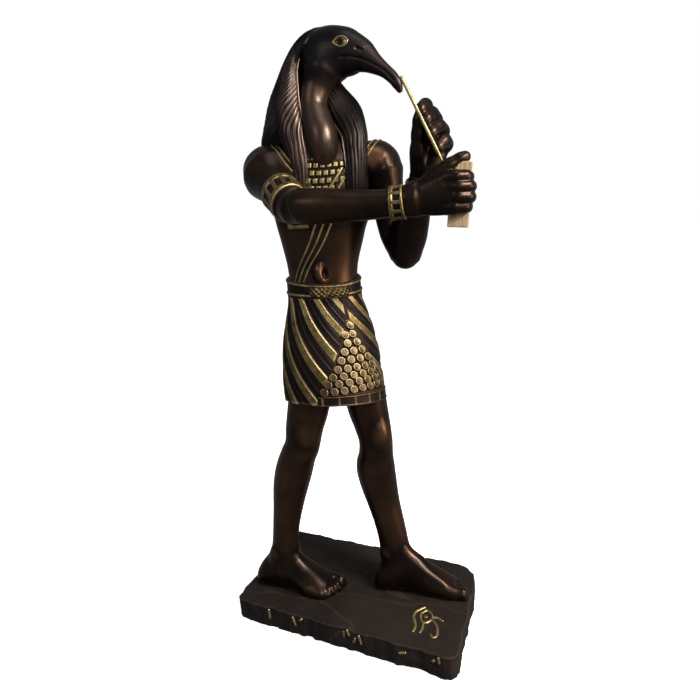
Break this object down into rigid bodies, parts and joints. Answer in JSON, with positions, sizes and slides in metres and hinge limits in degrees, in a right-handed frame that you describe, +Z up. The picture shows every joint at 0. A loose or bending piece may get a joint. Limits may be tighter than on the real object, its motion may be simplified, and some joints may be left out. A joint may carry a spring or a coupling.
{
  "type": "ibis-headed scribe figurine",
  "caption": "Striding ibis-headed scribe figurine in dark cast bronze resin with gold details, writing on a small board with a thin rod, on a rough oblong plinth.",
  "frame": {"origin": "middle of the plinth's underside", "axes": "+Z up, +X the way the figure walks, along the plinth, -Y towards the viewer of the plinth's long side with the row of strokes"},
  "size_m": [0.1376, 0.0809, 0.296],
  "materials": {
    "stone": "rough dark brown-black casting that imitates hewn stone, marks rubbed with gold",
    "bronze": "satin near-black bronze patina over bronze-powder resin, ridges picked out in antique gold by hand",
    "brass": "dull pale brass",
    "board": "matt tan with dark grain, painted to look like wood"
  },
  "bodies": {
    "root": {"plinth": "stone", "figure": "bronze", "stylus": "brass", "tablet": "board"}
  },
  "joints": []
}
